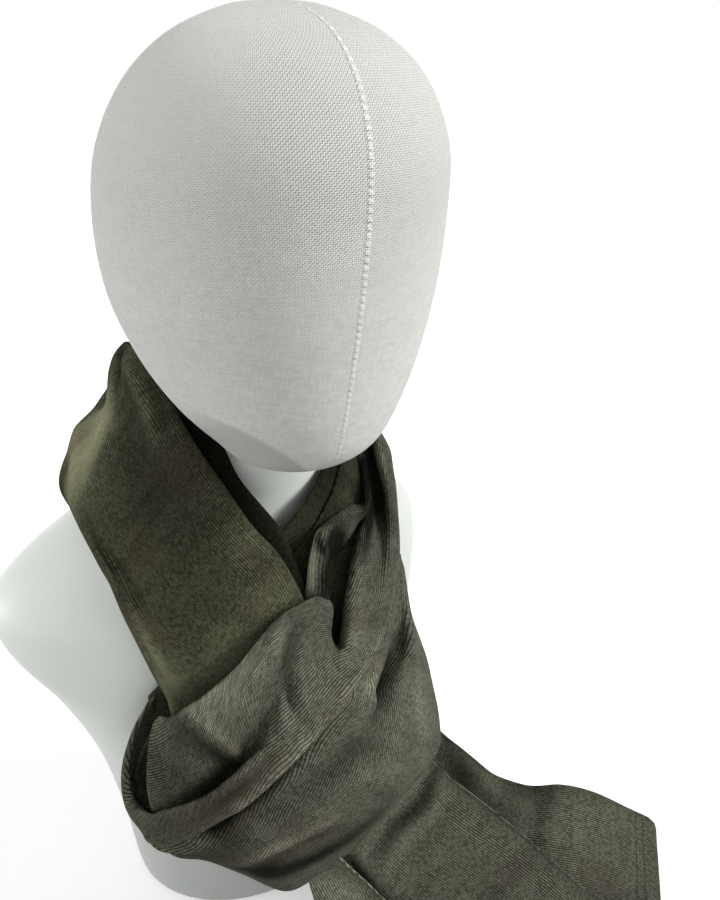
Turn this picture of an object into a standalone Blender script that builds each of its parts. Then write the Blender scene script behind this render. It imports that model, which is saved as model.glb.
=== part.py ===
"""Cape scarf worn in a pull-through loop on a limbless display bust.

The scarf is folded lengthwise, doubled, laid round the neck, and its two
tails are pulled through the bight.  Each stretch of the wound cloth is a
thin closed wall of its own.  The bust is a head with a linen cover on a
smooth moulded neck and chest.  It stands on its flat base, faces -Y, and
the origin is the middle of that base.  Tables are in millimetres.
"""
import math
from collections import namedtuple

import bmesh
import bpy
from mathutils import Vector

MM = 0.001

CLOTH_THICKNESS = 2.0      # a doubled ply of fine jersey
SEAM_GAP = 1.2             # between the ends of two stretches
PLY_GAP = 0.5              # between a ply and the one it lies on
HEAD_GAP = 0.4             # between the head and the neck cut to it
BUST_SEGMENTS = 40
HEAD_SEGMENTS = 36

Ring = namedtuple("Ring", "z middle_x half_width front back")
Section = namedtuple(
    "Section", "upper_x upper_y upper_z lower_x lower_y lower_z arch")
Fold = namedtuple(
    "Fold", "from_along from_across to_along to_across width height")
Sheet = namedtuple("Sheet", "sections folds side columns rows")

# --- the bust -------------------------------------------------------------

BODY_RINGS = (
    Ring(0, 2, 96, -72, 78),
    Ring(4, 2, 99, -75, 81),
    Ring(20, 2, 101, -77, 83),
    Ring(80, 3, 107, -84, 87),
    Ring(147, 3, 118, -90, 91),
    Ring(204, 2, 136, -88, 91),
    Ring(240, -3, 149, -82, 88),
    Ring(262, -6, 153, -77, 84),
    Ring(280, -8, 151, -73, 80),
    Ring(296, -8, 135, -67, 76),
    Ring(312, -6, 110, -64, 71),
    Ring(328, -3, 82, -63, 64),
    Ring(344, 0, 64, -68, 52),
    Ring(362, 0, 56, -77, 36),
    Ring(388, 0, 50, -90, 14),
    Ring(412, 0, 47, -98, -5),
    Ring(432, 0, 44, -104, -20),
)

HEAD_RINGS = (
    Ring(391, 0, 6, -106, -92),
    Ring(392, 0, 17, -121, -80),
    Ring(395, 0, 33, -136, -60),
    Ring(404, 0, 48, -146, -38),
    Ring(421, 0, 61, -153, -16),
    Ring(447, 0, 72, -160, -3),
    Ring(480, 0, 81, -168, 3),
    Ring(515, 0, 84, -174, 0),
    Ring(547, 0, 80, -176, -10),
    Ring(574, 0, 66, -167, -28),
    Ring(592, 0, 46, -148, -50),
    Ring(602, 0, 22, -121, -76),
    Ring(604, 0, 7, -105, -92),
)

# --- the scarf, one table for each stretch --------------------------------

# Tail strand: from the nape, over the wearer's right shoulder, down the
# chest and into the loop.  Its two plies lie on each other.
BAND_OUTER = Sheet(
    sections=(
        Section(72, 16, 396, 106, 38, 340, 5),
        Section(42, 42, 407, 62, 79, 345, 7),
        Section(0, 50, 413, 0, 92, 348, 7),
        Section(-37, 40, 418, -54, 76, 346, 6),
        Section(-54, 12, 425, -84, 32, 342, 6),
        Section(-56, -24, 430, -108, -12, 336, 11),
        Section(-51, -52, 418, -104, -44, 313, 8),
        Section(-45, -76, 398, -94, -66, 291, 6),
        Section(-37, -91, 377, -90, -80, 271, 5),
        Section(-21, -100, 344, -87, -90, 251, 5),
        Section(-5, -107, 304, -78, -99, 224, 4),
        Section(14, -109, 262, -60, -105, 192, 3),
        Section(42, -107, 220, -28, -110, 152, 3),
        Section(70, -102, 180, 8, -112, 116, 3),
    ),
    folds=(),
    side=1, columns=6, rows=34)

BAND_INNER = Sheet(
    sections=(
        Section(66, 10, 390, 96, 30, 336, 4),
        Section(38, 36, 401, 56, 71, 342, 5),
        Section(0, 44, 406, 0, 84, 344, 5),
        Section(-34, 34, 411, -49, 68, 342, 4),
        Section(-52, 6, 414, -78, 24, 338, 4),
        Section(-57, -28, 411, -99, -14, 328, 7),
        Section(-50, -58, 400, -94, -44, 312, 4),
        Section(-36, -84, 386, -87, -65, 290, 3),
        Section(-22, -90, 371, -84, -72, 268, 2),
        Section(0, -92, 332, -80, -83, 248, 2),
        Section(16, -96, 296, -72, -91, 220, 2),
        Section(30, -99, 256, -54, -98, 188, 2),
        Section(52, -97, 214, -24, -102, 148, 2),
        Section(76, -91, 174, 14, -103, 112, 2),
    ),
    folds=(),
    side=1, columns=6, rows=34)

# Rear strand of the loop: wearer's left side of the neck, down and across
# the chest behind the tail strand.
REAR_PLY = Sheet(
    sections=(
        Section(68, 2, 386, 98, 24, 332, 3),
        Section(66, -28, 367, 106, -24, 318, 3),
        Section(39, -63, 353, 96, -53, 292, 3),
        Section(20, -76, 341, 84, -71, 262, 2),
        Section(2, -80, 328, 52, -88, 226, 2),
        Section(-40, -82, 290, 4, -97, 186, 2),
        Section(-68, -80, 260, -46, -94, 158, 2),
        Section(-89, -76, 238, -89, -71, 180, 1),
    ),
    folds=(),
    side=-1, columns=6, rows=20)

# Inner fold of the front strand: it runs beside the neck and turns down
# in a narrow lit ridge in front of the knot.
LOOP_INNER_FOLD = Sheet(
    sections=(
        Section(76, -34, 366, 105, -33, 326, 2),
        Section(67, -58, 353, 93, -60, 306, 3),
        Section(49, -77, 336, 77, -76, 288, 3),
        Section(16, -98, 331, 54, -86, 274, 7),
        Section(9, -103, 316, 44, -94, 260, 7),
        Section(4, -106, 300, 36, -100, 248, 4),
    ),
    folds=(),
    side=-1, columns=6, rows=14)

# Pouch ply: across the tail strand to the wearer's right, where it ends
# in a fold.  Its lower part is tucked behind the rim.
LOOP_POUCH_PLY = Sheet(
    sections=(
        Section(34, -106, 290, 38, -107, 246, 0),
        Section(17, -111, 297, 22, -115, 244, 1),
        Section(-8, -118, 302, -2, -126, 234, 3),
        Section(-38, -126, 287, -28, -134, 214, 3),
        Section(-67, -126, 268, -56, -134, 196, 3),
        Section(-88, -119, 258, -82, -126, 182, 3),
        Section(-101, -114, 252, -109, -113, 188, 2),
    ),
    folds=(
        Fold(0.62, 0.1, 0.66, 0.6, 12, 4),
    ),
    side=-1, columns=8, rows=20)

# Rim ply of the front strand: down from the wearer's left shoulder, then a
# rolled rim that crosses the chest, turns round the tail strand and ends
# behind it.
LOOP_RIM_PLY = Sheet(
    sections=(
        Section(72, 16, 396, 106, 38, 340, 5),
        Section(82, -26, 376, 118, -10, 326, 6),
        Section(79, -56, 356, 110, -42, 308, 6),
        Section(64, -74, 339, 101, -60, 286, 7),
        Section(49, -90, 324, 82, -84, 274, 7),
        Section(33, -104, 311, 65, -104, 262, 6),
        Section(20, -117, 279, 47, -121, 250, 4),
        Section(-4, -129, 269, 22, -137, 243, 3),
        Section(-28, -140, 256, -6, -149, 245, 2),
        Section(-48, -148, 242, -32, -153, 230, 2),
        Section(-66, -149, 231, -56, -154, 219, 2),
        Section(-85, -145, 219, -78, -149, 205, 2),
        Section(-100, -135, 208, -99, -139, 190, 2),
        Section(-111, -121, 199, -111, -124, 177, 2),
        Section(-116, -107, 198, -116, -107, 177, 2),
        Section(-115, -95, 208, -117, -92, 186, 1),
        Section(-106, -84, 222, -108, -81, 200, 1),
        Section(-91, -77, 238, -91, -74, 216, 1),
    ),
    folds=(),
    side=-1, columns=6, rows=44)

# Outer ply of the front strand: the broad body of the loop, below the rim.
LOOP_OUTER_PLY = Sheet(
    sections=(
        Section(109, -47, 301, 114, -46, 286, 1),
        Section(101, -61, 282, 112, -62, 242, 3),
        Section(81, -75, 275, 115, -65, 204, 6),
        Section(66, -96, 268, 124, -64, 160, 9),
        Section(46, -114, 256, 127, -76, 120, 12),
        Section(20, -131, 250, 112, -92, 92, 15),
        Section(-8, -143, 250, 70, -108, 82, 17),
        Section(-32, -147, 236, 32, -118, 76, 18),
        Section(-56, -148, 225, 0, -124, 78, 16),
        Section(-78, -143, 211, -38, -127, 94, 12),
        Section(-97, -133, 195, -72, -125, 130, 8),
        Section(-108, -119, 183, -94, -118, 152, 4),
        Section(-112, -106, 184, -107, -104, 156, 3),
        Section(-112, -93, 190, -109, -90, 160, 2),
        Section(-105, -80, 198, -103, -78, 168, 1),
        Section(-91, -74, 213, -91, -72, 180, 1),
    ),
    folds=(
        Fold(0.08, 0.5, 0.36, 0.7, 16, -4),
        Fold(0.38, 0.80, 0.66, 0.74, 14, 5),
    ),
    side=-1, columns=10, rows=36)

# Tails: out of the loop, down to the surface, and flat along it.
TAIL_BACK = Sheet(
    sections=(
        Section(76, -91, 174, 14, -103, 112, 2),
        Section(108, -81, 132, 36, -94, 88, 2),
        Section(137, -72, 84, 64, -91, 50, 2),
        Section(163, -82, 50, 90, -118, 20, 2),
        Section(187, -90, 20, 110, -152, 4, 2),
        Section(208, -112, 15, 126, -184, 1, 2),
        Section(224, -131, 25, 142, -206, 1, 1),
        Section(245, -148, 20, 162, -226, 1, 1),
        Section(266, -168, 8, 182, -246, 1, 0),
        Section(283, -188, 1, 199, -266, 1, 0),
    ),
    folds=(),
    side=-1, columns=8, rows=24)

TAIL_FRONT = Sheet(
    sections=(
        Section(70, -102, 180, 8, -112, 116, 3),
        Section(98, -94, 126, 14, -110, 86, 3),
        Section(121, -84, 71, 18, -110, 50, 4),
        Section(132, -98, 56, 26, -120, 26, 5),
        Section(147, -120, 42, 36, -138, 8, 6),
        Section(166, -158, 24, 52, -178, 2, 5),
        Section(183, -206, 8, 80, -268, 1, 2),
        Section(205, -232, 6, 104, -318, 1, 0),
        Section(221, -252, 6, 126, -340, 1, 0),
    ),
    folds=(
        Fold(0.16, 0.30, 0.50, 0.55, 16, -5),
    ),
    side=-1, columns=8, rows=24)

TAIL_SIDE_FOLD = Sheet(
    sections=(
        Section(12, -121, 76, -14, -113, 76, 2),
        Section(22, -125, 58, -10, -113, 58, 4),
        Section(32, -132, 42, -8, -120, 36, 5),
        Section(42, -144, 27, -6, -134, 12, 5),
        Section(56, -170, 14, 8, -168, 1, 4),
        Section(70, -206, 10, 30, -208, 2, 3),
        Section(84, -244, 10, 50, -246, 2, 2),
    ),
    folds=(),
    side=-1, columns=6, rows=14)


def catmull_rom(rows, along):
    """A smooth value between the rows of a table, for along from 0 to 1."""
    place = min(max(along, 0.0), 1.0) * (len(rows) - 1)
    index = min(int(place), len(rows) - 2)
    t = place - index
    before = rows[max(index - 1, 0)]
    start = rows[index]
    end = rows[index + 1]
    after = rows[min(index + 2, len(rows) - 1)]
    return [
        0.5 * (2 * b + (c - a) * t + (2 * a - 5 * b + 4 * c - d) * t * t
               + (3 * b - a - 3 * c + d) * t * t * t)
        for a, b, c, d in zip(before, start, end, after)]


def edges_at(sheet, along):
    """The upper edge, the lower edge and the arch of a sheet."""
    row = Section(*catmull_rom(sheet.sections, along))
    upper = Vector((row.upper_x, row.upper_y, row.upper_z))
    lower = Vector((row.lower_x, row.lower_y, row.lower_z))
    return upper, lower, row.arch


def outward_at(sheet, along):
    """The direction in which a sheet arches, away from the bust."""
    step = 0.01
    upper_a, lower_a, _ = edges_at(sheet, along - step)
    upper_b, lower_b, _ = edges_at(sheet, along + step)
    upper, lower, _ = edges_at(sheet, along)
    run = (upper_b + lower_b) - (upper_a + lower_a)
    return (lower - upper).cross(run).normalized() * sheet.side


def fold_height(fold, along, across, length, width):
    """How far one soft fold lifts the cloth at a place on the sheet."""
    start = Vector((fold.from_along * length, fold.from_across * width))
    end = Vector((fold.to_along * length, fold.to_across * width))
    place = Vector((along * length, across * width))
    run = end - start
    part = min(max((place - start).dot(run) / run.length_squared, 0.0), 1.0)
    distance = (place - (start + run * part)).length
    taper = math.sin(math.pi * (0.15 + 0.7 * part))
    return fold.height * taper * math.exp(-(distance / fold.width) ** 2)


def sheet_length(sheet):
    """The length of a sheet along its middle, in millimetres."""
    steps = 40
    middles = []
    for step in range(steps + 1):
        upper, lower, _ = edges_at(sheet, step / steps)
        middles.append((upper + lower) / 2)
    return sum((b - a).length for a, b in zip(middles, middles[1:]))


def sheet_point(sheet, along, across, length, lift=0.0):
    """A point of the middle of the wall, in millimetres."""
    upper, lower, arch = edges_at(sheet, along)
    width = (lower - upper).length
    height = arch * 4 * across * (1 - across) + lift
    for fold in sheet.folds:
        height += fold_height(fold, along, across, length, width)
    return upper.lerp(lower, across) + outward_at(sheet, along) * height


def make_material(name, colour, roughness):
    """A plain Principled material."""
    material = bpy.data.materials.new(name)
    material.use_nodes = True
    shader = material.node_tree.nodes["Principled BSDF"]
    shader.inputs["Base Color"].default_value = (*colour, 1.0)
    shader.inputs["Roughness"].default_value = roughness
    shader.inputs["Metallic"].default_value = 0.0
    return material


def make_object(name, bm, material):
    """A smooth-shaded object from a bmesh, which is freed."""
    bmesh.ops.recalc_face_normals(bm, faces=bm.faces)
    mesh = bpy.data.meshes.new(name)
    bm.to_mesh(mesh)
    bm.free()
    mesh.materials.append(material)
    mesh.shade_smooth()
    thing = bpy.data.objects.new(name, mesh)
    bpy.context.scene.collection.objects.link(thing)
    return thing


def make_cloth(name, sheet, material, along=(0.0, 1.0), across=(0.0, 1.0),
               lift=0.0):
    """A stretch of cloth: a grid laid through its sections, then thickened."""
    length = sheet_length(sheet)
    trim = SEAM_GAP / 2 / length
    first = max(along[0], trim)
    last = min(along[1], 1 - trim)
    bm = bmesh.new()
    bmesh.ops.create_grid(
        bm, x_segments=sheet.rows, y_segments=sheet.columns, size=0.5)
    for vertex in bm.verts:
        place_along = first + (vertex.co.x + 0.5) * (last - first)
        place_across = across[0] + (vertex.co.y + 0.5) * (across[1] - across[0])
        vertex.co = sheet_point(
            sheet, place_along, place_across, length, lift) * MM
    cloth = make_object(name, bm, material)
    wall = cloth.modifiers.new("Wall", "SOLIDIFY")
    wall.thickness = CLOTH_THICKNESS * MM
    wall.offset = 0.0
    wall.use_even_offset = True
    wall.use_quality_normals = True
    return cloth


def ring_loop(bm, ring, segments):
    """One oval ring of the bust; returns its edges."""
    middle = (ring.front + ring.back) / 2
    depth = (ring.back - ring.front) / 2
    made = bmesh.ops.create_circle(bm, segments=segments, radius=1.0)
    for vertex in made["verts"]:
        vertex.co = Vector((
            ring.middle_x + vertex.co.x * ring.half_width,
            middle + vertex.co.y * depth,
            ring.z)) * MM
    return list({edge for vertex in made["verts"]
                 for edge in vertex.link_edges})


def make_turned(name, rings, segments, steps, material):
    """A closed body through oval rings, with flat ends."""
    bm = bmesh.new()
    count = (len(rings) - 1) * steps
    loops = []
    for step in range(count + 1):
        ring = Ring(*catmull_rom(rings, step / count))
        loops.append(ring_loop(bm, ring, segments))
    for lower, upper in zip(loops, loops[1:]):
        bmesh.ops.bridge_loops(bm, edges=lower + upper)
    bmesh.ops.contextual_create(bm, geom=loops[0])
    bmesh.ops.contextual_create(bm, geom=loops[-1])
    return make_object(name, bm, material)


def grown(rings, amount):
    """The same rings, larger all round by a gap."""
    last = len(rings) - 1
    return [
        Ring(ring.z + (amount if index == last else -amount),
             ring.middle_x, ring.half_width + amount,
             ring.front - amount, ring.back + amount)
        for index, ring in enumerate(rings)]


def build_bust(linen, moulding):
    """The head in its cover, and the neck and chest cut to fit it."""
    make_turned("bust_head", HEAD_RINGS, HEAD_SEGMENTS, 1, linen)
    body = make_turned("bust_body", BODY_RINGS, BUST_SEGMENTS, 1, moulding)
    cutter = make_turned(
        "head_cutter", grown(HEAD_RINGS, HEAD_GAP), HEAD_SEGMENTS, 1, linen)
    cutter.hide_render = True
    cutter.display_type = "WIRE"
    seat = body.modifiers.new("Seat for the head", "BOOLEAN")
    seat.operation = "DIFFERENCE"
    seat.object = cutter


def build_scarf(jersey):
    """Every stretch of the wound scarf."""
    make_cloth("tail_strand_outer_ply", BAND_OUTER, jersey)
    make_cloth("tail_strand_inner_ply", BAND_INNER, jersey)
    make_cloth("loop_rear_ply", REAR_PLY, jersey)
    make_cloth("loop_rear_fold", REAR_PLY, jersey, along=(0.12, 0.66),
               across=(0.14, 0.9), lift=CLOTH_THICKNESS + PLY_GAP)
    make_cloth("loop_inner_fold", LOOP_INNER_FOLD, jersey)
    make_cloth("loop_pouch_ply", LOOP_POUCH_PLY, jersey)
    make_cloth("loop_rim_ply", LOOP_RIM_PLY, jersey)
    make_cloth("loop_outer_ply", LOOP_OUTER_PLY, jersey)
    make_cloth("tail_back", TAIL_BACK, jersey)
    make_cloth("tail_front", TAIL_FRONT, jersey)
    make_cloth("tail_front_side_fold", TAIL_SIDE_FOLD, jersey)


def main():
    for thing in list(bpy.data.objects):
        bpy.data.objects.remove(thing, do_unlink=True)
    linen = make_material("Linen cover", (0.56, 0.57, 0.53), 0.85)
    moulding = make_material("Smooth moulding", (0.62, 0.64, 0.60), 0.45)
    jersey = make_material("Merino jersey", (0.085, 0.088, 0.066), 0.9)
    build_bust(linen, moulding)
    build_scarf(jersey)


main()
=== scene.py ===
"""Cape scarf in a pull-through loop on a limbless display bust.

The scarf is fine merino jersey, folded lengthwise and doubled.  It lies
round the neck, and its two tails are pulled through the bight.  Every
stretch of the wound cloth is a thin sheet laid through a short table of
points, with its creases listed.  Tables are in millimetres.
"""
import math
from collections import namedtuple

import bmesh
import bpy
from bpy.props import FloatProperty, FloatVectorProperty, PointerProperty
from mathutils import Matrix, Vector, noise
from mathutils.bvhtree import BVHTree


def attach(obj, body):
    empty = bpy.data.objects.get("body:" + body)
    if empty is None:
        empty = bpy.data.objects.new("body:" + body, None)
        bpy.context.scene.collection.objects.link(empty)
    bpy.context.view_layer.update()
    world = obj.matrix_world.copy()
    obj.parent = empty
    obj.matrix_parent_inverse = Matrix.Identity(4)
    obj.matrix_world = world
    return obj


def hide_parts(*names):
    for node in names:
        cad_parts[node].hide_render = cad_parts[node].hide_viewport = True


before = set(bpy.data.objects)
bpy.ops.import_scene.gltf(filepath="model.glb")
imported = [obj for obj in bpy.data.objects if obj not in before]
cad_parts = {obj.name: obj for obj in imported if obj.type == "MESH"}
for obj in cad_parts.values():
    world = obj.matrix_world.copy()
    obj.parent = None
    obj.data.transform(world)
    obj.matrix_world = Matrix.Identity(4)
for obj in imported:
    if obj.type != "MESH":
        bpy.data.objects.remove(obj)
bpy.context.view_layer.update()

bl_info = {
    "name": "Looped cape scarf on a display bust",
    "version": (1, 0, 0),
    "blender": (4, 5, 0),
    "location": "View3D > Sidebar > Cape scarf",
    "description": "Builds a jersey cape scarf in a pull-through loop, "
                   "worn by a limbless display bust",
    "category": "Object",
}

MM = 0.001

Ring = namedtuple("Ring", "z middle_x half_width front back")
Section = namedtuple(
    "Section", "upper_x upper_y upper_z lower_x lower_y lower_z arch")
FrontRow = namedtuple(
    "FrontRow", "edge crown belly valley pocket crest face fold under")
RimRow = namedtuple("RimRow", "crest face fold under")
FoldRow = namedtuple("FoldRow", "edge ridge slope deep")
BandRow = namedtuple(
    "BandRow", "neck inner middle outer lit crease silhouette under")
OuterRow = namedtuple(
    "OuterRow", "top upper belly lower ridge outline under")
Line = namedtuple("Line", "height width path")
Across = namedtuple("Across", "lanes steps middle run")

# A stretch of cloth: its rows, which side it faces, its grid spacing and
# the height of its ripple.  Then the radii of its two turned edges, how far
# its wales shift along it, the lane that it is measured on, where its grid
# is cut away, whether its face shows (the face is a darker copy of the
# jersey whose colour is painted shade), how far it is pulled wide, the
# radius of its corners, and the lines drawn on it: creases, strokes of
# painted light and shade, and strokes of warmth.
Cloth = namedtuple(
    "Cloth", "rows side spacing ripple turn shift anchor cut face pull "
    "corner creases shades warmth",
    defaults=((2, 0), (0, 0), 0.5, None, False, 1.0, 0, (), (), ()))


def table(kind, *rows):
    """Rows of one table, their columns named by its kind."""
    return [kind(*row) for row in rows]


def line(height, width, *path):
    """A crease, or a stroke of painted light and shade or of warmth; its path
    is in percent of the cloth.
    """
    return Line(height, width, [(a / 100, b / 100) for a, b in path])


# --- The bust

BODY_RINGS = table(Ring,
    (0, 2, 96, -72, 78),
    (4, 2, 99, -75, 81),
    (20, 2, 101, -77, 83),
    (80, 3, 107, -84, 87),
    (147, 3, 118, -90, 91),
    (204, 2, 136, -88, 91),
    (240, -3, 149, -82, 88),
    (262, -6, 153, -77, 84),
    (280, -8, 151, -73, 80),
    (296, -8, 135, -67, 76),
    (312, -6, 110, -64, 71),
    (328, -3, 82, -63, 64),
    (344, 0, 64, -68, 52),
    (362, 0, 56, -77, 36),
    (388, 0, 50, -90, 14),
    (412, 0, 47, -98, -5),
    (432, 0, 44, -104, -20))

HEAD_RINGS = table(Ring,
    (391, 0, 6, -106, -92),
    (392, 0, 17, -121, -80),
    (395, 0, 33, -136, -60),
    (404, 4, 46, -146, -38),
    (421, 4, 60, -153, -16),
    (447, 3, 73, -160, -3),
    (480, 1, 82, -168, 3),
    (515, 0, 84, -174, 0),
    (547, 0, 80, -176, -10),
    (574, 0, 66, -167, -28),
    (592, 0, 46, -148, -50),
    (602, 0, 22, -121, -76),
    (604, 0, 7, -105, -92))

# --- The scarf, one table for each stretch

# Tail strand: from the nape, over the wearer's right shoulder, down the
# chest and into the loop.
BAND_OUTER = table(Section,
    (76, 8, 389, 108, 28, 336, 2),
    (42, 42, 407, 62, 79, 345, 7),
    (0, 50, 413, 0, 92, 348, 7),
    (-37, 40, 418, -54, 76, 346, 6))
BAND_OUTER += table(BandRow,
    ((-53, 10, 429), (-60, 10, 423), (-65, 10, 413), (-70, 8, 400),
     (-82, 6, 387), (-97, 6, 369), (-101, 10, 350), (-91, 26, 321)),
    ((-53, -26, 430), (-58, -27, 426), (-63, -25, 417), (-70, -20, 403),
     (-81, -14, 388), (-99, -10, 366), (-105, -6, 350), (-97, 12, 319)),
    ((-50, -52, 414), (-56, -55, 414), (-64, -54, 407), (-73, -50, 394),
     (-84, -45, 380), (-98, -38, 358), (-105, -30, 344), (-98, -14, 315)),
    ((-49, -76, 400), (-57, -79, 400), (-66, -78, 393), (-76, -74, 381),
     (-86, -67, 365), (-99, -58, 343), (-104, -52, 338), (-98, -36, 311)),
    ((-41, -90, 379), (-50, -92, 380), (-59, -91, 375), (-70, -87, 363),
     (-80, -80, 345), (-95, -71, 326), (-101, -65, 327), (-95, -50, 301)),
    ((-30, -100, 354), (-38, -102, 354), (-50, -102, 349), (-62, -99, 339),
     (-74, -93, 323), (-89, -84, 305), (-97, -78, 304), (-91, -63, 277)),
    ((-15, -105, 330), (-24, -107, 329), (-38, -107, 322), (-51, -105, 311),
     (-64, -100, 296), (-83, -92, 278), (-91, -86, 280), (-85, -71, 250)),
    ((-4, -108, 303), (-15, -110, 299), (-29, -110, 290), (-43, -108, 278),
     (-58, -104, 261), (-76, -97, 251), (-84, -90, 251), (-77, -76, 220)),
    ((9, -109, 264), (-2, -110, 261), (-18, -110, 252), (-32, -109, 241),
     (-49, -107, 230), (-68, -102, 220), (-78, -96, 220), (-70, -82, 187)),
    ((40, -107, 223), (26, -109, 217), (12, -110, 208), (-2, -110, 197),
     (-15, -110, 183), (-29, -108, 166), (-34, -102, 160), (-24, -90, 130)),
    ((69, -102, 181), (57, -105, 175), (46, -108, 166), (33, -110, 154),
     (21, -111, 139), (10, -111, 122), (7, -106, 113), (20, -94, 82)))

# The strand's second ply, under the first.
BAND_INNER = table(Section,
    (66, 10, 390, 96, 30, 336, 4),
    (38, 36, 401, 56, 71, 342, 5),
    (0, 44, 406, 0, 84, 344, 5),
    (-34, 34, 411, -49, 68, 342, 4),
    (-47, 6, 423, -78, 24, 338, 4),
    (-48, -32, 427, -99, -14, 328, 7),
    (-43, -64, 417, -94, -44, 312, 4),
    (-36, -86, 397, -87, -65, 290, 3),
    (-28, -91, 374, -84, -72, 268, 2),
    (-9, -97, 341, -80, -83, 248, 2),
    (0, -99, 314, -72, -91, 220, 2),
    (14, -99, 270, -54, -98, 188, 2),
    (44, -97, 220, -24, -102, 148, 2),
    (76, -91, 174, 14, -103, 112, 2))

# Rear ply of the front strand: down the wearer's left of the chest and
# behind the loop.
REAR_PLY = table(Section,
    (68, 2, 386, 98, 24, 332, 3),
    (66, -28, 367, 106, -24, 318, 3),
    (39, -63, 353, 96, -53, 292, 3),
    (20, -76, 341, 84, -71, 262, 2),
    (2, -80, 328, 52, -88, 226, 2),
    (-40, -82, 290, 4, -97, 186, 2),
    (-68, -80, 260, -46, -94, 150, 2),
    (-92, -76, 238, -92, -70, 146, 1))

# Inner fold of the front strand: beside the neck, then turned down in a
# narrow ridge in front of the hollow of the knot.
LOOP_INNER_FOLD = table(FoldRow,
    ((76, -34, 366), (84, -40, 356), (94, -38, 338), (102, -30, 318)),
    ((66, -66, 324), (64, -74, 323), (73, -66, 302), (85, -50, 271)),
    ((51, -75, 327), (48, -84, 327), (59, -73, 303), (75, -50, 260)),
    ((37, -84, 330), (33, -94, 331), (47, -80, 303), (64, -52, 253)),
    ((24, -92, 332), (21, -102, 333), (35, -84, 301), (52, -55, 246)),
    ((13, -98, 331), (13, -108, 331), (28, -86, 295), (42, -60, 241)),
    ((9, -100, 323), (14, -107, 319), (26, -86, 286), (38, -64, 236)),
    ((6, -101, 313), (13, -109, 308), (25, -88, 278), (37, -68, 231)),
    ((4, -101, 299), (13, -110, 297), (25, -90, 267), (37, -72, 225)),
    ((2, -100, 287), (12, -108, 286), (24, -90, 258), (34, -76, 222)))

# Front strand of the loop: down from the wearer's left shoulder in a
# gathered bunch, round the knot's small hollow, then over the tail strand
# as a loose pouch with a rolled rim that wraps round to the back.
LOOP_FRONT = table(FrontRow,
    ((73, 17, 398), (79, 21, 392), (84, 24, 386), (89, 28, 379),
     (94, 31, 372), (98, 34, 365), (101, 36, 357), (105, 38, 349),
     (108, 40, 341)),
    ((89, -14, 370), (89, -16, 370), (90, -18, 369), (93, -20, 367),
     (92, -24, 366), (93, -28, 362), (98, -30, 355), (111, -20, 336),
     (115, -8, 327)),
    ((84, -38, 341), (84, -40, 342), (84, -43, 342), (84, -46, 342),
     (84, -52, 343), (82, -60, 346), (84, -64, 342), (96, -56, 331),
     (103, -38, 319)),
    ((71, -60, 319), (68, -65, 321), (67, -70, 323), (71, -69, 320),
     (76, -66, 315), (79, -69, 314), (81, -76, 313), (91, -70, 303),
     (97, -54, 290)),
    ((47, -86, 306), (45, -92, 309), (45, -96, 309), (50, -95, 305),
     (61, -87, 296), (68, -85, 290), (72, -90, 289), (83, -84, 279),
     (88, -69, 268)),
    ((30, -102, 280), (29, -107, 283), (30, -110, 283), (34, -111, 282),
     (40, -109, 278), (47, -106, 273), (57, -104, 268), (70, -97, 264),
     (74, -86, 254)),
    ((23, -108, 257), (21, -115, 260), (21, -119, 262), (22, -121, 261),
     (25, -122, 259), (30, -121, 256), (36, -120, 251), (45, -118, 246),
     (50, -108, 240)),
    ((19, -109, 253), (15, -117, 257), (12, -122, 258), (12, -125, 257),
     (13, -127, 256), (15, -128, 253), (21, -130, 248), (28, -129, 245),
     (34, -120, 240)),
    ((16, -108, 263), (9, -117, 268), (4, -122, 267), (1, -125, 264),
     (0, -128, 261), (-1, -133, 257), (2, -139, 251), (9, -141, 244),
     (15, -132, 240)),
    ((20, -105, 280), (9, -115, 287), (-1, -121, 287), (-8, -124, 279),
     (-11, -128, 270), (-12, -136, 264), (-13, -145, 255), (-3, -147, 243),
     (3, -138, 240)),
    ((10, -108, 293), (1, -117, 295), (-9, -125, 295), (-18, -129, 285),
     (-22, -133, 275), (-24, -140, 264), (-22, -148, 254), (-15, -150, 236),
     (-9, -141, 233)),
    ((-5, -114, 299), (-13, -122, 300), (-22, -129, 298), (-26, -132, 282),
     (-29, -135, 269), (-30, -141, 256), (-29, -149, 248), (-23, -151, 231),
     (-17, -142, 228)),
    ((-20, -118, 300), (-27, -126, 300), (-34, -133, 294), (-36, -135, 271),
     (-36, -138, 260), (-37, -144, 255), (-36, -151, 247), (-29, -152, 230),
     (-23, -143, 227)),
    ((-36, -121, 292), (-41, -128, 289), (-46, -135, 279), (-45, -136, 255),
     (-44, -138, 245), (-44, -146, 246), (-42, -152, 238), (-38, -153, 227),
     (-32, -144, 224)),
    ((-52, -122, 279), (-55, -129, 273), (-58, -136, 261), (-53, -136, 238),
     (-51, -138, 229), (-50, -147, 238), (-49, -152, 232), (-47, -154, 224),
     (-41, -145, 220)),
    ((-64, -122, 272), (-67, -129, 266), (-69, -137, 253), (-61, -134, 225),
     (-57, -136, 219), (-60, -148, 234), (-60, -154, 228), (-58, -155, 219),
     (-52, -146, 215)),
    ((-75, -122, 267), (-78, -128, 261), (-78, -134, 245), (-69, -132, 214),
     (-66, -134, 207), (-70, -147, 227), (-71, -152, 221), (-71, -153, 211),
     (-65, -144, 207)),
    ((-84, -121, 263), (-87, -126, 253), (-89, -130, 234), (-82, -129, 205),
     (-80, -132, 201), (-82, -144, 219), (-85, -149, 212), (-87, -149, 201),
     (-81, -140, 197)),
    ((-92, -118, 258), (-96, -123, 248), (-98, -126, 227), (-95, -125, 201),
     (-95, -128, 196), (-96, -138, 213), (-100, -143, 207), (-101, -142, 192),
     (-95, -133, 188)),
    ((-101, -114, 253), (-106, -116, 239), (-110, -118, 219),
     (-110, -118, 199), (-109, -120, 194), (-109, -125, 201),
     (-113, -129, 196), (-113, -126, 182), (-107, -118, 177)))

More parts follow.
